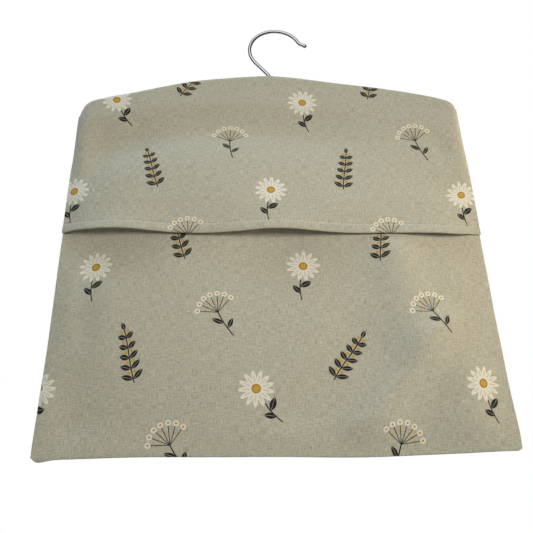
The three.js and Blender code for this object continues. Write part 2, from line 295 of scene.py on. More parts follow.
# Folds of the three panels: x and z of both ends, width, and height
pouchFolds = [
    (0.106, -0.262, 0.116, -0.340, 0.024, 0.0072),
    (0.141, -0.332, 0.069, -0.420, 0.016, 0.0074),
    (0.154, -0.380, 0.152, -0.430, 0.026, 0.0056),
    (0.066, -0.340, 0.018, -0.402, 0.018, -0.0020),
    (-0.020, -0.268, 0.045, -0.282, 0.034, -0.0022),
    (-0.040, -0.442, 0.050, -0.442, 0.024, 0.0036),
    (0.096, -0.442, 0.150, -0.440, 0.030, 0.0058),
    (-0.178, -0.395, -0.165, -0.440, 0.045, -0.0045),
    (0.150, -0.262, 0.158, -0.292, 0.016, 0.0022),
    (-0.166, -0.275, -0.161, -0.334, 0.013, -0.0020),
]
flapFolds = [
    (-0.034, -0.222, 0.020, -0.232, 0.050, 0.0052),
    (-0.174, -0.176, -0.130, -0.140, 0.022, -0.0026),
    (0.128, -0.190, 0.172, -0.180, 0.022, -0.0024),
    (0.014, -0.149, 0.132, -0.166, 0.020, -0.0016),
    (0.054, -0.222, 0.089, -0.224, 0.013, 0.0014),
    (0.166, -0.132, 0.184, -0.140, 0.007, 0.0016),
    (0.164, -0.156, 0.184, -0.150, 0.007, -0.0018),
    (0.160, -0.178, 0.184, -0.172, 0.008, 0.0018),
    (0.158, -0.202, 0.184, -0.196, 0.008, -0.0020),
    (-0.186, -0.212, -0.188, -0.150, 0.014, 0.0030),
]
backFolds = [
    (-0.128, -0.150, -0.104, -0.330, 0.034, 0.0036),
    (-0.050, -0.160, -0.062, -0.380, 0.030, -0.0028),
    (0.030, -0.150, 0.018, -0.300, 0.036, 0.0034),
    (0.118, -0.145, 0.092, -0.350, 0.030, -0.0026),
    (0.150, -0.240, 0.166, -0.400, 0.026, 0.0032),
    (-0.150, -0.330, -0.085, -0.410, 0.022, 0.0024),
    (0.060, -0.370, 0.010, -0.420, 0.022, -0.0022),
]


def flapSoft(x, z):
    start, run = fades["bar"]
    return ease(insetAt(x) / fades["edge"]) * ease((barFoot(x) - z + start) / run)


# Nought well below the hem, rising to one
def nearHem(z, fade):
    start, run = fades[fade]
    return ease((z - bag["hem"] + start) / run)


def pressedIn(x, z):  # where the flap's hollows push the pouch back
    return max(0.0, -foldsAt(x, z, flapFolds)) * flapSoft(x, z)


def pouchSurface(x, z):
    rise = pillow(insetAt(x) / bag["sideRun"]["left" if x < 0 else "right"])
    up = z - footEdge(x)
    climb = mix(up / (bag["pouchTop"] - bag["bottom"]), pillow(up / bag["footRun"]), bag["footShare"])
    soft = ease(insetAt(x) / fades["edge"]) * ease(up / fades["edge"])
    loose = foldsAt(x, z, pouchFolds) + unevenness(x, z, 2.0)
    bare = 1 - nearHem(z, "tuck")  # it lies flat under the flap
    face = mix(bag["frontEdge"], bag["pouchOut"], rise * climb)
    swell = hemSwell(x, bag["pouchTop"] - z, 5.0)
    pressed = pressedIn(x, z) * nearHem(z, "cover")
    sewn = face - loose * soft * bare - seamRipples(x, z, 3.0) - swell * soft
    return sewn + mouthFall(x, z) + pressed


# Where the hem stands away from the pouch
def hemGape(x, z):
    fall = clamp((bag["hem"] + bag["gapeHeight"] - z) / bag["gapeHeight"]) ** bag["gapeCurl"]
    lift = 0.0
    for start, peak, end, height, steep in bag["gapes"]:
        share = clamp((x - start) / (peak - start)) if x < peak else clamp((end - x) / (end - peak))
        lift += height * math.sin(math.pi / 2 * share) ** (steep if x < peak else 2)
    return fall * lift


# Under the bar the cloth falls back, less so at the right
def barRecess(x, below):
    recess = bag["recess"]
    share = mix(1.0, recess["rightShare"], ease((x - recess["rightFrom"]) / recess["rightRun"]))
    return recess["depth"] * share * math.exp(-(((below - recess["below"]) / recess["width"]) ** 2))


# The mouth falls back where the hem stands off, and comes forward again lower down
def mouthFall(x, z):
    return bag["mouthSag"] * hemGape(x, z) * nearHem(z, "mouth")


def flapSurface(x, z):
    low = min(z, bag["pouchTop"])
    overPouch = pouchSurface(x, low) - bag["layerStep"] - mouthFall(x, low)
    overPouch -= pressedIn(x, low)
    barRise = pillow(insetAt(x) / bag["barRoll"])
    overBar = mix(bag["frontEdge"], bag["barFace"], barRise)
    below = barFoot(x) - z
    hanging = mix(overPouch, overBar, ease((z - bag["pouchTop"]) / (barFoot(x) - bag["pouchTop"])))
    soft = flapSoft(x, z)
    loose = foldsAt(x, z, flapFolds) + unevenness(x, z, 7.0) - barRecess(x, below)
    crown = seamCurve(x) - sewing["lipRadius"] - hookEye(x)
    ripples = seamRipples(x, z, 8.0) * ease((topEdge(x) - z) / fades["edge"])
    swell = hemSwell(x, z - hemLine(x), 1.0)
    return mix(crown, hanging, crownRoll(x, z)) - hemGape(x, z) - loose * soft - ripples - swell


def backSurface(x, z):
    soft = flapSoft(x, z) * ease((z - footEdge(x)) / fades["edge"])
    recess = bag["backRecess"]
    hollow = recess["depth"] * math.exp(-(((barFoot(x) - z - recess["below"]) / recess["width"]) ** 2))
    loose = foldsAt(x, z, backFolds) + unevenness(x, z, 15.0) - hollow
    crown = seamCurve(x) + sewing["lipRadius"] + hookEye(x)
    ripples = seamRipples(x, z, 12.0) * ease((topEdge(x) - z) / fades["edge"])
    return mix(crown, bag["backFace"], crownRoll(x, z)) + loose * soft + ripple["backShare"] * ripples


# The outline is drawn out a little at the foot, and its left corner is poked out further
outline = {
    "flare": {"left": 0.0030, "right": 0.0042},
    "flareHeight": {"left": 0.055, "right": 0.045},
    "ear": {  # across, down, reach, inset
        "left": (0.0008, -0.0022, 0.009, 0.004),
        "right": (-0.0016, 0.0, 0.010, 0.0),
    },
    "wander": 0.0006,
}


def drawnOut(point):
    x, y, z = point
    side = 1 if x > 0 else -1
    word = "left" if x < 0 else "right"
    edge = clamp(abs(x) / bag["halfWidth"])
    up = z - bag["bottom"]
    flare = outline["flare"][word] * math.exp(-up / outline["flareHeight"][word]) * edge ** 3
    wander = outline["wander"] * noise.noise(Vector((7.0 * side, z * 22, 1.5))) * edge ** 6
    across, down, reach, inset = outline["ear"][word]
    corner = math.exp(-(((bag["halfWidth"] - inset - abs(x)) ** 2 + up ** 2) / reach ** 2))
    return Vector((x + side * (flare + wander) + across * corner, y, z + down * corner))


# Columns from the middle to one side: x, how deep the edge has turned in, and the place
# on the flat cloth
def sideColumns(word, step):
    radius = sewing["lipRadius"]
    edge = bag["halfWidth"] - radius
    turn = []
    for i in range(1, sewing["lipSteps"] + 1):
        angle = math.pi * i / sewing["lipSteps"]
        out = edge + radius * math.sin(angle)
        turn.append((out, radius * (1 - math.cos(angle)), edge + radius * angle))
    for share in sewing["lipShares"]:
        reach = sewing["lipReach"] * share
        turn.append((edge - reach, 2 * radius, edge + radius * math.pi + reach))
    eye = evenly(0.0, sewing["eyeReach"], round(sewing["eyeReach"] / sewing["eyeStep"]))
    cornerStart = bag["halfWidth"] - bag["topCorners"][word]
    plain = evenly(sewing["eyeReach"], cornerStart, round(cornerStart / step))
    angles = evenly(0, math.pi / 2, sewing["cornerColumns"])
    corner = [cornerStart + (edge - cornerStart) * math.sin(angle) for angle in angles]
    return [(x, 0.0, x) for x in eye + plain[1:] + corner[1:]] + turn


def panelColumns(step):
    left = [(-x, depth, -u) for x, depth, u in reversed(sideColumns("left", step)[1:])]
    return left + sideColumns("right", step)


# Lines up a panel, as lists of y and z: its lower turned edge, its face and its upper turned edge
def hemTurn(face, edgeZ, up):
    radius = sewing["hemRadius"]
    start = edgeZ + up * radius
    turn = []
    for i in range(1, sewing["hemSteps"]):
        angle = math.pi * i / sewing["hemSteps"]
        y = face(start) + radius * (1 - math.cos(angle))
        turn.append((y, start - up * radius * math.sin(angle)))
    inner = [start + up * (sewing["hemDepth"] - radius) * share for share in sewing["hemShares"]]
    return turn + [(face(z) + 2 * radius, z) for z in inner]


def seamTurn(y, z, inward):
    radius = sewing["lipRadius"]
    turn = []
    for i in range(1, sewing["lipSteps"] + 1):
        angle = math.pi * i / sewing["lipSteps"]
        depth = radius * (1 - math.cos(angle))
        turn.append((y + inward * depth, z + radius * (1 - math.sin(angle))))
    for share in sewing["lipShares"]:
        turn.append((y + inward * 2 * radius, z + (radius + sewing["lipReach"] * share)))
    return turn


# The crown seam turns the cloth down on to the bar
def crownTurn(y, z, inward):
    radius = sewing["lipRadius"]
    turn = []
    for i in range(1, sewing["crownSteps"] + 1):
        angle = math.pi / 2 * i / sewing["crownSteps"]
        turn.append((y + inward * radius * math.sin(angle), z - radius * (1 - math.cos(angle))))
    return turn + [(y + inward * radius, z - radius - sewing["crownReach"])]


def hemRows():
    return [sewing["hemRadius"]] + sewing["hemRows"]


def crownRows(x):
    angles = evenly(0, math.pi / 2, sewing["rows"]["crown"])
    return [topEdge(x) - bag["crownRound"] * (1 - math.sin(angle)) for angle in angles]


def stitchDip(distance):
    return sewing["dip"]["depth"] * math.exp(-((distance / sewing["dip"]["width"]) ** 2))


def upperFrontLine(x):
    hem = hemLine(x)

    def face(z):
        return flapSurface(x, z) + stitchDip(z - hem - sewing["stitchInset"])

    low = [hem + step for step in hemRows()]
    body = evenly(low[-1], topEdge(x) - bag["crownRound"], sewing["rows"]["upperFront"])[1:-1]
    rise = [(face(z), z) for z in low + body + crownRows(x)]
    return hemTurn(face, hem, 1), rise, crownTurn(*rise[-1], 1)


def pouchLine(x):
    def face(z):
        return pouchSurface(x, z) + stitchDip(bag["pouchTop"] - z - sewing["stitchInset"])

    foot = footEdge(x) + sewing["lipRadius"]
    top = [bag["pouchTop"] - step for step in reversed(hemRows())]
    body = evenly(foot, top[0], sewing["rows"]["pouch"])[:-1]
    rise = [(face(z), z) for z in body + top]
    return seamTurn(rise[0][0], footEdge(x), 1), rise, hemTurn(face, bag["pouchTop"], -1)


def backLine(x):
    foot = footEdge(x) + sewing["lipRadius"]
    body = evenly(foot, topEdge(x) - bag["crownRound"], sewing["rows"]["back"])[:-1]
    rise = [(backSurface(x, z), z) for z in body + crownRows(x)]
    return seamTurn(rise[0][0], footEdge(x), -1), rise, crownTurn(*rise[-1], -1)


# How many steps into a turned edge each row or column is
def turnSteps(low, plain, high):
    return [*range(low, 0, -1)] + [0] * plain + [*range(1, high + 1)]


# A panel of cloth on a grid, with its flat cloth's measure as its UV map
def clothPanel(name, line, inward, step, corner, materials):
    columns = panelColumns(step)
    edge = bag["halfWidth"] - sewing["lipRadius"]
    # A lip keeps the line of the edge it turns from
    runsUp = [line(math.copysign(edge, x) if depth else x) for x, depth, _ in columns]
    lines = [low[::-1] + rise + high for low, rise, high in runsUp]
    rowTurns = turnSteps(*(len(part) for part in runsUp[0]))
    turned = sewing["lipSteps"] + len(sewing["lipShares"])
    columnTurns = turnSteps(turned, len(columns) - 2 * turned, turned)
    rows = len(lines[0])
    grid = bmesh.new()
    bmesh.ops.create_grid(grid, x_segments=len(columns) - 1, y_segments=rows - 1, size=1)
    flat = grid.loops.layers.uv.new("cloth")
    runs = [[0.0] for _ in columns]
    for run, points in zip(runs, lines):
        for last, point in zip(points, points[1:]):
            run.append(run[-1] + math.dist(last, point))
    place = {}
    turns = {}
    for vert in grid.verts:
        i = round((vert.co.x + 1) / 2 * (len(columns) - 1))
        j = round((vert.co.y + 1) / 2 * (rows - 1))
        x, depth, u = columns[i]
        y, z = lines[i][j]
        place[vert] = (u + corner[0], runs[i][j] + corner[1])
        turns[vert] = (columnTurns[i], rowTurns[j])
        vert.co = drawnOut((x, y + inward * depth, z))
    snipped = []  # behind a corner where two turned edges cross
    for face in grid.faces:
        across, up = (max(steps) for steps in zip(*(turns[vert] for vert in face.verts)))
        if across and up and max(across, up) > sewing["cornerSteps"]:
            snipped.append(face)
        for loop in face.loops:
            loop[flat].uv = place[loop.vert]
    bmesh.ops.delete(grid, geom=snipped, context="FACES")
    if inward < 0:
        bmesh.ops.reverse_faces(grid, faces=grid.faces[:])
    piece = newPiece(name, grid, materials)
    smooth = piece.modifiers.new("smooth", "SUBSURF")
    smooth.levels = 1
    smooth.render_levels = 1
    wall = piece.modifiers.new("thickness", "SOLIDIFY")
    wall.thickness = sewing["clothThickness"]
    wall.offset = -1
    wall.material_offset = 1
    return piece


def newPiece(name, shape, materials):
    mesh = bpy.data.meshes.new(name)
    shape.to_mesh(mesh)
    shape.free()
    for material in materials:
        mesh.materials.append(material)
    mesh.shade_smooth()
    piece = bpy.data.objects.new(name, mesh)
    bpy.context.scene.collection.objects.link(piece)
    return piece


# One value in a material's nodes, so that a pattern reads as plain sums
class Wire:
    def __init__(self, tree, socket):
        self.tree = tree
        self.socket = socket

    def calc(self, operation, *others):
        node = self.tree.nodes.new("ShaderNodeMath")
        node.operation = operation
        for slot, value in zip(node.inputs, (self, *others)):
            join(self.tree, slot, value)
        return Wire(self.tree, node.outputs[0])

    def __add__(self, other):
        return self.calc("ADD", other)

    def __sub__(self, other):
        return self.calc("SUBTRACT", other)

    def __rsub__(self, other):
        return self.calc("MULTIPLY", -1.0).calc("ADD", other)

    def __mul__(self, other):
        return self.calc("MULTIPLY", other)

    def __truediv__(self, other):
        return self.calc("DIVIDE", other)

    def abs(self):
        return self.calc("ABSOLUTE")

    def ink(self, soft):  # one inside a shape, where its measure is below zero
        edge = self.calc("DIVIDE", -2.0 * soft).calc("ADD", 0.5)
        edge.socket.node.use_clamp = True
        return edge


def join(tree, slot, value):
    if isinstance(value, Wire):
        tree.links.new(value.socket, slot)
    else:
        slot.default_value = value


def distance(px, py):
    return (px * px + py * py).calc("SQRT")


def srgb(red, green, blue):
    def linear(value):
        share = value / 255
        return share / 12.92 if share <= 0.04045 else ((share + 0.055) / 1.055) ** 2.4

    return (linear(red), linear(green), linear(blue), 1.0)


def newMaterial(name):
    material = bpy.data.materials.new(name)
    material.use_nodes = True
    shader = material.node_tree.nodes["Principled BSDF"]
    return material, material.node_tree, shader


def blendColour(tree, share, under, over):
    node = tree.nodes.new("ShaderNodeMix")
    node.data_type = "RGBA"
    node.clamp_factor = True
    join(tree, node.inputs[0], share)
    for slot, colour in ((node.inputs[6], under), (node.inputs[7], over)):
        join(tree, slot, colour)
    return Wire(tree, node.outputs[2])


def vectorOf(tree, x, y, z):
    node = tree.nodes.new("ShaderNodeCombineXYZ")
    for slot, value in zip(node.inputs, (x, y, z)):
        join(tree, slot, value)
    return Wire(tree, node.outputs[0])


def noiseOf(tree, vector, scale=1.0, detail=2.0):
    node = tree.nodes.new("ShaderNodeTexNoise")
    node.inputs["Scale"].default_value = scale
    node.inputs["Detail"].default_value = detail
    join(tree, node.inputs["Vector"], vector)
    return Wire(tree, node.outputs[0])


def bumpOf(tree, height, strength, depth):
    node = tree.nodes.new("ShaderNodeBump")
    node.inputs["Strength"].default_value = strength
    node.inputs["Distance"].default_value = depth
    join(tree, node.inputs["Height"], height)
    return Wire(tree, node.outputs[0])


# The cloth's print, with sizes in millimetres on the flat cloth
printing = {
    "spacing": 80.5,
    "turn": math.atan(0.5),
    "tilt": 1.1,
    "soft": 0.16,
    "vein": 0.12,
    "charcoal": srgb(24, 24, 26),
    "ochre": srgb(186, 147, 62),
    "cream": srgb(214, 209, 193),
}


def leaf(px, py, baseX, baseY, heading, length, width):
    right = math.cos(heading)
    up = math.sin(heading)
    along = ((px - baseX) * right + (py - baseY) * up) / length
    across = ((py - baseY) * right - (px - baseX) * up).abs()
    blade = across - along * (1.0 - along) * (4 * width)
    vein = (across - printing["vein"]).ink(printing["soft"])
    return blade.ink(printing["soft"]) * (1.0 - vein)


def stem(px, py, low, high, bow, width):
    centre = (py - high) * (py - high) * bow
    side = (px - centre).abs() - width
    ends = (py - (low + high) / 2).abs() - (high - low) / 2
    return side.calc("MAXIMUM", ends).ink(printing["soft"])


# A daisy on a stalk, with its head above the middle of its place
def daisy(px, py):
    soft = printing["soft"]
    headY = py - 9.0
    out = distance(px, headY)
    angle = headY.calc("ARCTAN2", px)
    step = 2 * math.pi / 13  # thirteen petals
    turn = angle.calc("FLOORED_MODULO", step) - step / 2
    along = out * turn.calc("COSINE")
    across = out * turn.calc("SINE")
    petals = distance((along - 8.9) / 5.8, across / 1.95) - 1.0
    vein = (across.abs() - 0.2).calc("MAXIMUM", (along - 8.4).abs() - 2.6).ink(soft)
    disc = (out - 3.9).ink(soft)
    ring = ((out - 3.1).abs() - 0.34).ink(soft) * (angle * 16.0).calc("SINE").calc("GREATER_THAN", 0.0)
    stalk = stem(px, py, -24.0, -4.6, 0.011, 0.5)
    leaves = leaf(px, py, 0.6, -12.0, 0.7, 11.5, 2.7)
    leaves = leaves.calc("MAXIMUM", leaf(px, py, 2.6, -18.0, 2.5, 10.5, 2.4))
    cream = (petals * 1.9).ink(soft)
    dark = stalk.calc("MAXIMUM", leaves).calc("MAXIMUM", vein * cream * 0.55).calc("MAXIMUM", ring)
    return cream, disc, dark


# A sprig of paired leaves with berries
def sprig(px, py):
    soft = printing["soft"]
    lean = px - (py * 0.06).calc("SINE") * 2.4
    rise = py + 22.0
    pitch = 8.6  # from one pair of leaves to the next
    pair = (rise / pitch).calc("FLOOR")
    level = rise - pair * pitch
    inside = ((py + 0.5).abs() - 21.4).ink(soft)
    side = lean.abs()
    length = 10.6 - pair * 0.75
    heading = 0.56
    along = (side * math.cos(heading) + (level - 0.9) * math.sin(heading)) / length
    across = ((level - 0.9) * math.cos(heading) - side * math.sin(heading)).abs()
    blade = (across - along * (1.0 - along) * 8.8).ink(soft) * (1.0 - (across - 0.11).ink(soft))
    berry = (distance(side - 2.5, level - 6.9) - 1.45).ink(soft)
    stalk = stem(lean, py, -24.0, 21.0, 0.0, 0.48)
    tip = leaf(lean, py, 0.0, 20.4, math.pi / 2, 7.5, 1.8)
    dark = (blade * inside).calc("MAXIMUM", stalk).calc("MAXIMUM", tip)
    return None, berry * inside, dark


# A seed head: rays that end in round seeds
def seedHead(px, py):
    soft = printing["soft"]
    step = math.radians(21.0)
    out = distance(px, py)
    angle = py.calc("ARCTAN2", px) - math.pi / 2
    ray = (angle / step).calc("ROUND").calc("MAXIMUM", -3.0).calc("MINIMUM", 3.0)
    turn = angle - ray * step
    along = out * turn.calc("COSINE")
    across = out * turn.calc("SINE")
    line = (across.abs() - 0.3).calc("MAXIMUM", (along - 7.5).abs() - 7.5).ink(soft)
    fromSeed = distance(along - 17.2, across)
    seed = (fromSeed - 2.35).ink(soft)
    eye = (fromSeed - 1.0).ink(soft)
    bud = (distance(along - 10.4, across) - 0.95).ink(soft)
    stalk = stem(px, py, -24.0, 0.6, 0.006, 0.5)
    leaves = leaf(px, py, 0.7, -11.0, 2.35, 11.0, 2.1)
    leaves = leaves.calc("MAXIMUM", leaf(px, py, 1.9, -16.5, 0.75, 10.0, 2.0))
    dark = line.calc("MAXIMUM", stalk).calc("MAXIMUM", leaves)
    return seed, eye.calc("MAXIMUM", bud), dark


# Which motif stands where: a turned square lattice, three motifs in step
def printInks(tree, u, v):
    right = math.cos(printing["turn"]) / printing["spacing"]
    up = math.sin(printing["turn"]) / printing["spacing"]
    latticeX = u * right + v * up
    latticeY = v * right - u * up
    cellX = latticeX.calc("FLOOR")
    cellY = latticeY.calc("FLOOR")
    kind = (cellX + cellY * 2.0).calc("FLOORED_MODULO", 3.0)
    toss = ((cellX * 12.9898 + cellY * 78.233).calc("SINE") * 43758.5453).calc("FRACT")
    offX = (latticeX - cellX - 0.5) * printing["spacing"]
    offY = (latticeY - cellY - 0.5) * printing["spacing"]
    tilt = (toss - 0.5) * printing["tilt"] + printing["turn"]
    cosine = tilt.calc("COSINE")
    sine = tilt.calc("SINE")
    px = offX * cosine - offY * sine
    py = offX * sine + offY * cosine
    inks = {"cream": [], "ochre": [], "charcoal": []}
    for number, motif in enumerate((daisy, sprig, seedHead)):
        here = kind.calc("COMPARE", float(number), 0.5)
        for ink, mask in zip(inks, motif(px, py)):
            if mask is not None:
                inks[ink].append(mask * here)
    sums = {}
    for ink, masks in inks.items():
        total = masks[0]
        for mask in masks[1:]:
            total = total + mask
        sums[ink] = total
    return sums


weave = {
    "dark": srgb(138, 134, 115),
    "light": srgb(199, 195, 177),
    "pitch": 0.62,
    "slub": (6.5, 0.62),  # length and width of the thick places in the yarn
    "fleck": (2.0, 0.55),
    "slubContrast": 1.8,
    "fleckContrast": 1.1,
    "inkWear": 0.5,
    "knotHeight": 0.5,
    "slubHeight": 1.5,
    "bump": (0.35, 0.0003),  # strength and depth
    "roughness": 0.86,
    "roughnessSwing": 0.9,
}


# Streaks along the warp and the weft
def crossedYarn(tree, u, v, length, width, seed):
    warp = noiseOf(tree, vectorOf(tree, u / width, v / length, seed), detail=1.0)
    weft = noiseOf(tree, vectorOf(tree, u / length, v / width, seed + 5.0), detail=1.0)
    return (warp + weft) * 0.5


# Printed linen-look cotton. The reverse shows the print faintly.
def clothMaterial(name, printStrength):
    material, tree, shader = newMaterial(name)
    uvNode = tree.nodes.new("ShaderNodeUVMap")
    uvNode.uv_map = "cloth"
    parts = tree.nodes.new("ShaderNodeSeparateXYZ")
    tree.links.new(uvNode.outputs[0], parts.inputs[0])
    u, v = (Wire(tree, parts.outputs[i]) * 1000.0 for i in (0, 1))  # in millimetres
    slub = crossedYarn(tree, u, v, *weave["slub"], 3.0)
    fleck = crossedYarn(tree, u, v, *weave["fleck"], 21.0)
    yarn = (slub - 0.5) * weave["slubContrast"] + (fleck - 0.5) * weave["fleckContrast"] + 0.5
    colour = blendColour(tree, yarn, weave["dark"], weave["light"])
    for ink, mask in printInks(tree, u, v).items():
        worn = mask * printStrength * ((slub - 0.5) * weave["inkWear"] + 1.0)
        colour = blendColour(tree, worn, colour, printing[ink])
    tree.links.new(colour.socket, shader.inputs["Base Color"])
    threadU = (u * (math.pi / weave["pitch"])).calc("SINE")
    threadV = (v * (math.pi / weave["pitch"])).calc("SINE")
    over = (threadU * threadV).calc("GREATER_THAN", 0.0)
    knot = threadU.abs() * over + threadV.abs() * (1.0 - over)
    height = knot * weave["knotHeight"] + slub * weave["slubHeight"]
    tree.links.new(bumpOf(tree, height, *weave["bump"]).socket, shader.inputs["Normal"])
    rough = ((slub - 0.5) * weave["roughnessSwing"] + 1.0) * weave["roughness"]
    tree.links.new(rough.socket, shader.inputs["Roughness"])
    shader.inputs["Sheen Weight"].default_value = 0.08
    shader.inputs["Sheen Roughness"].default_value = 0.6
    shader.inputs["Specular IOR Level"].default_value = 0.2
    return material


def threadMaterial():
    material, tree, shader = newMaterial("sewingThread")
    place = tree.nodes.new("ShaderNodeTexCoord")
    twist = noiseOf(tree, Wire(tree, place.outputs["Object"]), scale=2600.0, detail=2.0)
    colour = blendColour(tree, twist, srgb(190, 184, 164), srgb(222, 217, 200))
    tree.links.new(colour.socket, shader.inputs["Base Color"])
    tree.links.new(bumpOf(tree, twist, 0.5, 0.0001).socket, shader.inputs["Normal"])
    shader.inputs["Roughness"].default_value = 0.7
    shader.inputs["Sheen Weight"].default_value = 0.2
    return material


# Pale beech with its grain along the bar
def beechMaterial():
    material, tree, shader = newMaterial("beech")
    place = tree.nodes.new("ShaderNodeTexCoord")
    parts = tree.nodes.new("ShaderNodeSeparateXYZ")
    tree.links.new(place.outputs["Object"], parts.inputs[0])
    x, y, z = (Wire(tree, output) for output in parts.outputs)
    drift = noiseOf(tree, vectorOf(tree, x * 9.0, y * 60.0, z * 60.0), detail=2.0)
    rings = noiseOf(tree, vectorOf(tree, x * 14.0, y * 420.0, z * 420.0 + drift * 4.0), detail=3.0)
    flecks = noiseOf(tree, vectorOf(tree, x * 260.0, y * 1800.0, z * 1800.0), detail=1.0)
    grain = rings * 0.75 + flecks * 0.25
    colour = blendColour(tree, (grain - 0.5) * 2.2 + 0.5, srgb(178, 132, 86), srgb(216, 178, 130))
    tree.links.new(colour.socket, shader.inputs["Base Color"])
    tree.links.new((grain * 0.25 + 0.42).socket, shader.inputs["Roughness"])
    tree.links.new(bumpOf(tree, grain, 0.15, 0.0003).socket, shader.inputs["Normal"])
    return material


# Bright plated wire with faint handling marks
def chromeMaterial(name, tint, roughness):
    material, tree, shader = newMaterial(name)
    place = tree.nodes.new("ShaderNodeTexCoord")
    spot = Wire(tree, place.outputs["Object"])
    marks = noiseOf(tree, spot, scale=900.0, detail=3.0)
    haze = noiseOf(tree, spot, scale=120.0, detail=2.0)
    tree.links.new((marks * 0.08 + haze * 0.06 + roughness).socket, shader.inputs["Roughness"])
    tree.links.new(bumpOf(tree, marks, 0.05, 0.0001).socket, shader.inputs["Normal"])
    shader.inputs["Base Color"].default_value = tint
    shader.inputs["Metallic"].default_value = 1.0
    return material


cloth = clothMaterial("printedCloth", 1.0)
clothReverse = clothMaterial("printedClothReverse", 0.22)
sewingThread = threadMaterial()
beech = beechMaterial()
chrome = chromeMaterial("chromeWire", srgb(226, 228, 230), 0.05)
zinc = chromeMaterial("zincWasher", srgb(190, 192, 194), 0.22)
print("materials made")

# Each panel is cut from its own place on the printed cloth
cuts = {"back": (0.013, 0.052), "pouch": (0.031, 0.006), "upper_front": (0.058, 0.118)}
columnStep = {"back": 0.0040, "front": 0.0028}
bothFaces = [cloth, clothReverse]
back = clothPanel("back", backLine, -1, columnStep["back"], cuts["back"], bothFaces)
pouch = clothPanel("pouch", pouchLine, 1, columnStep["front"], cuts["pouch"], bothFaces)
upperFront = clothPanel(
    "upper_front", upperFrontLine, 1, columnStep["front"], cuts["upper_front"], bothFaces
)
print("panels sewn")


# Stitches, each a slim bead laid along its line
stitching = {
    "pitch": 0.0031,
    "length": 0.0023,
    "width": 0.0007,
    "height": 0.0006,
    "slant": 0.10,
    "scatter": 0.05,
    "sink": 0.00005,
    "probe": 0.001,  # half the run that a stitch's slope is read from
    "flapEnd": 0.004,  # from the side of the bag to a row's end
    "pouchEnd": 0.012,
}


def stitchRow(name, surface, height, halfRun):
    beads = bmesh.new()
    toss = random.Random(11)
    count = round(2 * halfRun / stitching["pitch"])
    for x in evenly(-halfRun, halfRun, count):
        span = (x - stitching["probe"], x + stitching["probe"])
        ends = [drawnOut(Vector((end, surface(end, height(end)), height(end)))) for end in span]
        run = (ends[1] - ends[0]).normalized()
        slant = stitching["slant"] + toss.uniform(-stitching["scatter"], stitching["scatter"])
        run = (run + Vector((0, 0, slant))).normalized()
        side = Vector((0, -1, 0)).cross(run).normalized()
        turned = Matrix((side, side.cross(run), run)).transposed().to_4x4()
        size = Matrix.Diagonal((*(stitching[way] / 2 for way in ("width", "height", "length")), 1))
        spot = (ends[0] + ends[1]) / 2 + Vector((0, stitching["sink"], 0))
        bmesh.ops.create_uvsphere(
            beads, u_segments=8, v_segments=5, radius=1, matrix=Matrix.Translation(spot) @ turned @ size
        )
    return newPiece(name, beads, [sewingThread])


def flapStitchFace(x, z):
    return flapSurface(x, z) + stitchDip(0)


def flapStitchLine(x):
    return hemLine(x) + sewing["stitchInset"]


def pouchStitchFace(x, z):
    return pouchSurface(x, z) + stitchDip(0)


def pouchStitchLine(x):
    return bag["pouchTop"] - sewing["stitchInset"]


hemReach = bag["halfWidth"] - stitching["flapEnd"]
mouthReach = bag["halfWidth"] - stitching["pouchEnd"]
hemRow = stitchRow("flap_hem_stitches", flapStitchFace, flapStitchLine, hemReach)
mouthRow = stitchRow("pouch_hem_stitches", pouchStitchFace, pouchStitchLine, mouthReach)
print("hems stitched")


# The seam allowances inside: two layers folded to a neat edge
allowance = {
    "width": 0.0075,
    "layerGap": 0.0009,
    "shares": [0.0, 0.35, 0.75],  # rows across the width, before the fold
    "steps": 4,
    "roll": 0.06,  # how far the fold stands out, as a share of the width
    "waver": 0.06,
    "waves": 60,  # per metre
    "thickness": 0.0005,
    "inset": 0.0026,  # from the bag's edge
    "footEnd": 0.006,
    "sideFoot": 0.011,
    "sideTop": 0.014,
    "crownFront": -0.003,
    "crownSink": 0.0026,
    "spans": {"side": 60, "foot": 70, "crown": 30},
}


def seamStrip(name, spine, inward, across):
    rows = [(share, -1.0) for share in allowance["shares"]]
    for i in range(allowance["steps"] + 1):
        angle = math.pi * i / allowance["steps"]
        rows.append((1.0 + allowance["roll"] * math.sin(angle), -math.cos(angle)))
    rows += [(share, 1.0) for share in reversed(allowance["shares"])]
    grid = bmesh.new()
    bmesh.ops.create_grid(grid, x_segments=len(spine) - 1, y_segments=len(rows) - 1, size=1)
    flat = grid.loops.layers.uv.new("cloth")
    for vert in grid.verts:
        i = round((vert.co.x + 1) / 2 * (len(spine) - 1))
        j = round((vert.co.y + 1) / 2 * (len(rows) - 1))
        reach, layer = rows[j]
        wavy = 1 + allowance["waver"] * noise.noise(spine[i] * allowance["waves"])
        out = inward * (allowance["width"] * reach * wavy)
        vert.co = spine[i] + out + across * (allowance["layerGap"] / 2 * layer)
    for face in grid.faces:
        for loop in face.loops:
            loop[flat].uv = (loop.vert.co.x + loop.vert.co.y, loop.vert.co.z)
    bmesh.ops.recalc_face_normals(grid, faces=grid.faces[:])
    piece = newPiece(name, grid, [clothReverse])
    wall = piece.modifiers.new("thickness", "SOLIDIFY")
    wall.thickness = allowance["thickness"]
    wall.offset = 0
    return piece


def sideSpine(side):
    low = bag["bottom"] + allowance["sideFoot"]
    high = topEdge(bag["barHalf"]) - allowance["sideTop"]
    x = side * (bag["halfWidth"] - allowance["inset"])
    return [drawnOut((x, bag["seamLine"], z)) for z in evenly(low, high, allowance["spans"]["side"])]


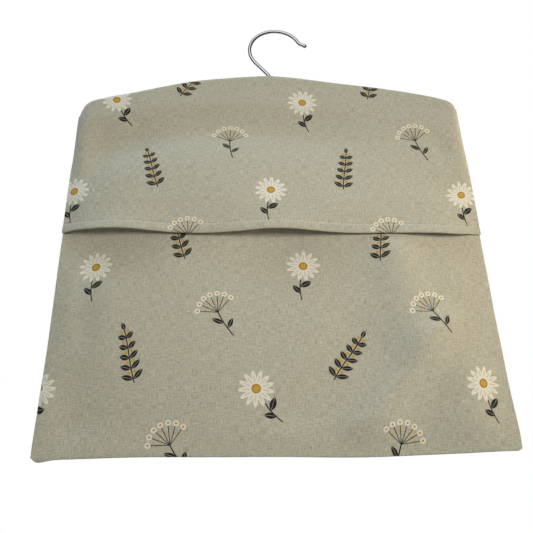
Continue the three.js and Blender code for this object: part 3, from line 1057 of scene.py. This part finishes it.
strips = []
for word, side in (("left", -1), ("right", 1)):
    strip = seamStrip(f"{word}_seam", sideSpine(side), Vector((-side, 0, 0)), Vector((0, 1, 0)))
    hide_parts(f"{word}_side_seam")
    strips.append(strip)
footReach = bag["halfWidth"] - allowance["footEnd"]
footZ = bag["bottom"] + allowance["inset"]
footAcross = evenly(-footReach, footReach, allowance["spans"]["foot"])
footSpine = [drawnOut((x, bag["seamLine"], footZ)) for x in footAcross]
footStrip = seamStrip("foot_seam", footSpine, Vector((0, 0, 1)), Vector((0, 1, 0)))
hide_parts("bottom_seam")
strips.append(footStrip)
for word, side in (("left", -1), ("right", 1)):
    low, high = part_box(f"{word}_shoulder_seam")
    inner = min(abs(low.x), abs(high.x))
    outer = max(abs(low.x), abs(high.x))
    across = evenly(inner, outer, allowance["spans"]["crown"])
    sink = allowance["crownSink"]
    spine = [Vector((side * x, allowance["crownFront"], topEdge(x) - sink)) for x in across]
    strip = seamStrip(f"{word}_crown_seam", spine, Vector((0, 1, 0)), Vector((0, 0, 1)))
    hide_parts(f"{word}_shoulder_seam")
    strips.append(strip)
print("seam allowances laid")


# The hook: one wire, spun and extruded from its head up to its tip
hook = {
    "wire": 0.0036,
    "headRadius": 0.0035,
    "headHeight": 0.0022,
    "headChamfer": 0.0005,
    "headRound": 0.0003,
    "headTaper": 0.92,
    "neckZ": bag["crown"] + 0.0006,
    "neckRadius": 0.006,
    "bowCentre": Vector((0.007, 0.0, -0.0242)),
    "bowRadius": 0.027,
    "bowEnd": math.radians(25),
    "tipRadius": 0.005,
    "tipFlare": math.radians(36),
    "tipLength": 0.0055,
    "ballRadius": 0.0021,
    "ballEnd": 0.12,  # angle at which the bead is closed
    "sides": 24,
    "steps": {"neck": 8, "bow": 56, "tip": 6, "ball": 9},
}


def ringEdges(geom):
    return [item for item in geom if isinstance(item, bmesh.types.BMEdge)]


def pushRing(wire, ring, step):
    made = bmesh.ops.extrude_edge_only(wire, edges=ring)["geom"]
    verts = [item for item in made if isinstance(item, bmesh.types.BMVert)]
    bmesh.ops.translate(wire, verts=verts, vec=step)
    return [edge for edge in ringEdges(made) if all(vert in verts for vert in edge.verts)]


def scaleRing(wire, ring, factor):
    verts = list({vert for edge in ring for vert in edge.verts})
    centre = sum((vert.co for vert in verts), Vector()) / len(verts)
    bmesh.ops.scale(wire, verts=verts, vec=(factor, factor, factor), space=Matrix.Translation(-centre))


def spinRing(wire, ring, centre, angle, steps):
    made = bmesh.ops.spin(wire, geom=ring, cent=centre, axis=(0, 1, 0), angle=angle, steps=steps)
    return ringEdges(made["geom_last"])


def buildHook():
    low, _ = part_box("hook")
    wire = bmesh.new()
    radius = hook["wire"] / 2
    chamfer = hook["headChamfer"]
    flatRadius = hook["headRadius"] - chamfer
    head = bmesh.ops.create_circle(
        wire, segments=hook["sides"], radius=flatRadius, cap_ends=True,
        matrix=Matrix.Translation((0, 0, low.z)),
    )
    ring = list({edge for vert in head["verts"] for edge in vert.link_edges})
    ring = [edge for edge in ring if len(edge.link_faces) == 1]
    ring = pushRing(wire, ring, Vector((0, 0, chamfer)))
    scaleRing(wire, ring, hook["headRadius"] / flatRadius)
    ring = pushRing(wire, ring, Vector((0, 0, hook["headHeight"] - chamfer - hook["headRound"])))
    ring = pushRing(wire, ring, Vector((0, 0, hook["headRound"])))
    scaleRing(wire, ring, hook["headTaper"])
    ring = pushRing(wire, ring, Vector((0, 0, 0)))
    scaleRing(wire, ring, radius / (hook["headRadius"] * hook["headTaper"]))
    shankStart = low.z + hook["headHeight"]
    ring = pushRing(wire, ring, Vector((0, 0, hook["neckZ"] - shankStart)))
    neck = Vector((-hook["neckRadius"], 0, hook["neckZ"]))
    toBow = hook["bowCentre"] - neck
    reach = (hook["bowRadius"] + hook["neckRadius"]) / toBow.length
    lean = math.atan2(toBow.z, toBow.x) - math.acos(reach)
    ring = spinRing(wire, ring, neck, -lean, hook["steps"]["neck"])
    straight = math.sqrt(toBow.length_squared - (hook["bowRadius"] + hook["neckRadius"]) ** 2)
    ring = pushRing(wire, ring, Vector((-math.sin(lean), 0, math.cos(lean))) * straight)
    bowTurn = math.pi + lean - hook["bowEnd"]
    ring = spinRing(wire, ring, hook["bowCentre"], bowTurn, hook["steps"]["bow"])
    outward = Vector((math.cos(hook["bowEnd"]), 0, math.sin(hook["bowEnd"])))
    tipCentre = hook["bowCentre"] + outward * (hook["bowRadius"] + hook["tipRadius"])
    ring = spinRing(wire, ring, tipCentre, -hook["tipFlare"], hook["steps"]["tip"])
    heading = math.radians(-90) + hook["bowEnd"] + hook["tipFlare"]
    along = Vector((math.cos(heading), 0, math.sin(heading)))
    ball = hook["ballRadius"]
    # Round the bead, from the wire to its end
    turns = evenly(math.pi - math.asin(radius / ball), hook["ballEnd"], hook["steps"]["ball"])
    ring = pushRing(wire, ring, along * (hook["tipLength"] + ball * math.cos(turns[0])))
    for last, angle in zip(turns, turns[1:]):
        ring = pushRing(wire, ring, along * ball * (math.cos(angle) - math.cos(last)))
        scaleRing(wire, ring, math.sin(angle) / math.sin(last))
    bmesh.ops.contextual_create(wire, geom=ring)
    bmesh.ops.recalc_face_normals(wire, faces=wire.faces[:])
    return newPiece("hook_wire", wire, [chrome])


hookWire = buildHook()
print("hook bent")

# The CAD nodes that stay
for name, material in (("hanger_bar", beech), ("hook_washer", zinc)):
    mesh = frame["nodes"][name].data
    mesh.materials.clear()
    mesh.materials.append(material)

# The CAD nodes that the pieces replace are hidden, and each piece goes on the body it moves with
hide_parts("back_panel")
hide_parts("front_pouch")
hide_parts("front_yoke", "front_flap")
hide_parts("flap_hem_stitching")
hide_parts("pouch_hem_stitching")
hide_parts("hook")
for piece in (back, pouch, mouthRow, *strips):
    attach(piece, "bag")
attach(hookWire, "hook")

# The flap lifts from its bend line, and its ends stay sewn into the side seams
bend = hinge["pos_m"]
for piece in (upperFront, hemRow):
    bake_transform(piece, "bag", "flap", start=(0, 0, bend[2]), end=(0, 0, bag["hem"]))
    lift = piece.data.attributes["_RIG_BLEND"].data
    for vert in piece.data.vertices:
        lift[vert.index].value *= 1 - clamp(abs(vert.co.x) / bag["halfWidth"]) ** bag["liftPower"]

print("pieces set on their bodies")

# Camera where the photograph was taken from, low down and looking up
view = {
    "location": (-0.0255, -0.4947, -0.5069),
    "turn": (115.09, 1.14, -1.59),
    "lens": 41.88,
    "sensor": 36,
    "clipStart": 0.01,
}
camera = bpy.data.objects.new("camera", bpy.data.cameras.new("camera"))
camera.data.lens = view["lens"]
camera.data.sensor_width = view["sensor"]
camera.data.clip_start = view["clipStart"]
camera.location = view["location"]
camera.rotation_euler = [math.radians(angle) for angle in view["turn"]]
bpy.context.scene.collection.objects.link(camera)
bpy.context.scene.camera = camera


# One where a ray of any of these kinds looks
def seenBy(tree, *kinds):
    path = tree.nodes.new("ShaderNodeLightPath")
    seen, *others = (Wire(tree, path.outputs[f"Is {kind} Ray"]) for kind in kinds)
    for other in others:
        seen = seen.calc("MAXIMUM", other)
    return seen


# A pale floor and soft light: plain from the front, cool from above, warm from the right
studio = {
    "floorZ": -0.62,
    "floorSize": 16.0,
    "floorColour": srgb(204, 202, 197),
    "ring": {"radius": 0.8, "depth": 1.2, "height": 0.25, "rightReach": 0.9, "sides": 48},
    "ringColour": srgb(28, 28, 30),
    "target": (0, 0, -0.25),  # what the lamps point at
    "ambient": 0.10,
    "warmth": srgb(250, 253, 255),
    "floorGlow": 0.58,  # as seen, so that the paper stays pale
    "lamps": [  # name, place, size, power, colour, spread in degrees
        ("skylight", (-0.60, -0.25, 1.10), 0.40, 1.85, srgb(202, 229, 250), 60),
        ("window", (-0.90, -0.70, 0.90), 0.40, 0.34, srgb(252, 252, 250), 60),
        ("room", (0.75, -0.30, -0.25), 0.25, 0.72, srgb(255, 234, 206), 80),
        ("front", (0.25, -1.25, -0.25), 0.50, 1.16, srgb(253, 253, 250), 60),
        ("rear", (1.90, 1.15, 0.90), 1.00, 6.0, srgb(255, 250, 242), 50),
    ],
}
ground = bmesh.new()
bmesh.ops.create_grid(ground, x_segments=1, y_segments=1, size=studio["floorSize"] / 2)
bmesh.ops.translate(ground, verts=ground.verts[:], vec=(0, 0, studio["floorZ"]))
floorPaint, floorTree, floorShader = newMaterial("palePaper")
floorShader.inputs["Base Color"].default_value = studio["floorColour"]
floorShader.inputs["Roughness"].default_value = 0.9
floorShader.inputs["Emission Color"].default_value = (1, 1, 1, 1)
floorSeen = seenBy(floorTree, "Camera", "Glossy")
floorTree.links.new((floorSeen * studio["floorGlow"]).socket, floorShader.inputs["Emission Strength"])
floor = newPiece("floor", ground, [floorPaint])

# A dark ring round the set, seen only in shiny metal, gives the wire its dark edges
band = studio["ring"]
ring = bmesh.new()
hoop = bmesh.ops.create_circle(
    ring, segments=band["sides"], radius=band["radius"], matrix=Matrix.Rotation(math.pi / 2, 4, "X")
)
bmesh.ops.translate(ring, verts=hoop["verts"], vec=(0, -band["depth"] / 2, band["height"]))
pushRing(ring, ring.edges[:], Vector((0, band["depth"], 0)))
for vert in hoop["verts"]:
    vert.co.y -= band["rightReach"] * max(0.0, vert.co.x)
ringPaint, _, ringShader = newMaterial("blackPaper")
ringShader.inputs["Base Color"].default_value = studio["ringColour"]
ringShader.inputs["Roughness"].default_value = 0.95
ringShader.inputs["Specular IOR Level"].default_value = 0.0
darkRing = newPiece("dark_ring", ring, [ringPaint])
for rays in ("camera", "diffuse", "transmission", "volume_scatter", "shadow"):
    setattr(darkRing, f"visible_{rays}", False)

for name, location, size, power, colour, spread in studio["lamps"]:
    lamp = bpy.data.lights.new(name, "AREA")
    lamp.size = size
    lamp.energy = power
    lamp.color = colour[:3]
    lamp.spread = math.radians(spread)
    holder = bpy.data.objects.new(name, lamp)
    holder.location = location
    aim = Vector(studio["target"]) - Vector(location)
    holder.rotation_euler = aim.to_track_quat("-Z", "Y").to_euler()
    holder.visible_camera = False
    holder.visible_glossy = False  # the wire shows the pale set instead
    bpy.context.scene.collection.objects.link(holder)

world = bpy.data.worlds.new("studio")
world.use_nodes = True
bpy.context.scene.world = world
tree = world.node_tree
seen = seenBy(tree, "Camera", "Glossy", "Transmission")
sky = tree.nodes["Background"]
tree.links.new(blendColour(tree, seen, studio["warmth"], (1, 1, 1, 1)).socket, sky.inputs["Color"])
tree.links.new((seen * (1 - studio["ambient"]) + studio["ambient"]).socket, sky.inputs["Strength"])
bpy.context.scene.view_settings.view_transform = "Standard"
print("studio lit")
